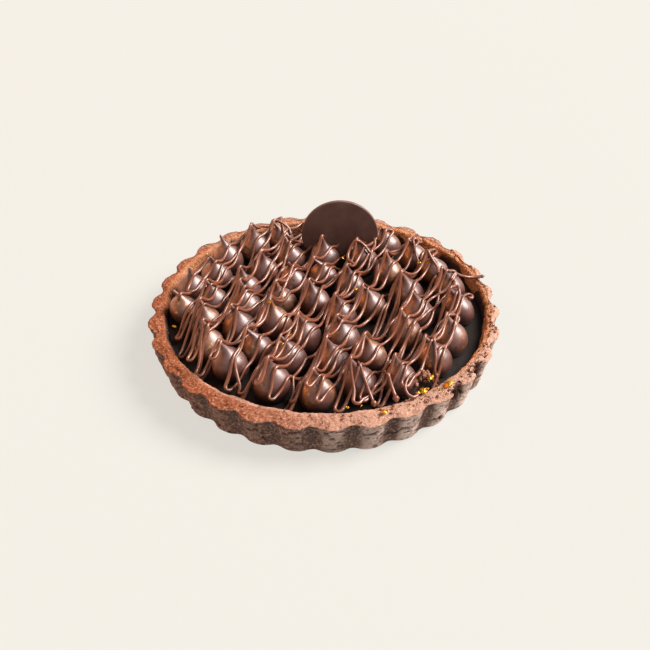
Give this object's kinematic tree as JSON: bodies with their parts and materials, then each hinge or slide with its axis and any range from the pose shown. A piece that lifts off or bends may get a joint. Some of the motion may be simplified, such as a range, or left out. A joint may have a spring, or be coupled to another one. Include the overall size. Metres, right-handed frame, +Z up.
{
  "type": "chocolate tart",
  "caption": "Round fluted tart: a cocoa crust filled with ganache, covered in pointed piped dollops, with thin drizzled threads and a flat disc standing near the back.",
  "frame": {"origin": "middle of the flat underside, on the surface that the tart stands on", "axes": "+Z up, -Y towards the front, the disc standing towards +Y, +X to the right"},
  "size_m": [0.1208, 0.1212, 0.0328],
  "materials": {
    "cocoa_pastry": "baked cocoa shortcrust, dry, sandy and matt",
    "dark_ganache": "set dark ganache, satin",
    "piped_chocolate": "piped chocolate cream, smooth, satin, with a few pinholes",
    "chocolate_disc": "moulded dark chocolate, matt satin",
    "milk_chocolate_thread": "drizzled milk chocolate, glossy",
    "gold_leaf": "crumbled edible gold leaf"
  },
  "bodies": {
    "root": {"crust": "cocoa_pastry", "filling": "dark_ganache", "disc": "chocolate_disc", "dollop_01": "piped_chocolate", "dollop_02": "piped_chocolate", "dollop_03": "piped_chocolate", "dollop_04": "piped_chocolate", "dollop_05": "piped_chocolate", "dollop_06": "piped_chocolate", "dollop_07": "piped_chocolate", "dollop_08": "piped_chocolate", "dollop_09": "piped_chocolate", "dollop_10": "piped_chocolate", "dollop_11": "piped_chocolate", "dollop_12": "piped_chocolate", "dollop_13": "piped_chocolate", "dollop_14": "piped_chocolate", "dollop_15": "piped_chocolate", "dollop_16": "piped_chocolate", "dollop_17": "piped_chocolate", "dollop_18": "piped_chocolate", "dollop_19": "piped_chocolate", "dollop_20": "piped_chocolate", "dollop_21": "piped_chocolate", "dollop_22": "piped_chocolate", "dollop_23": "piped_chocolate", "dollop_24": "piped_chocolate", "dollop_25": "piped_chocolate", "dollop_26": "piped_chocolate", "dollop_27": "piped_chocolate", "dollop_28": "piped_chocolate", "dollop_29": "piped_chocolate", "dollop_30": "piped_chocolate", "dollop_31": "piped_chocolate", "dollop_32": "piped_chocolate", "dollop_33": "piped_chocolate", "dollop_34": "piped_chocolate", "dollop_35": "piped_chocolate", "dollop_36": "piped_chocolate", "dollop_37": "piped_chocolate", "dollop_38": "piped_chocolate", "dollop_39": "piped_chocolate", "dollop_40": "piped_chocolate", "dollop_41": "piped_chocolate", "dollop_42": "piped_chocolate", "dollop_43": "piped_chocolate", "dollop_44": "piped_chocolate", "dollop_45": "piped_chocolate", "dollop_46": "piped_chocolate", "dollop_47": "piped_chocolate", "dollop_48": "piped_chocolate"}
  },
  "joints": []
}
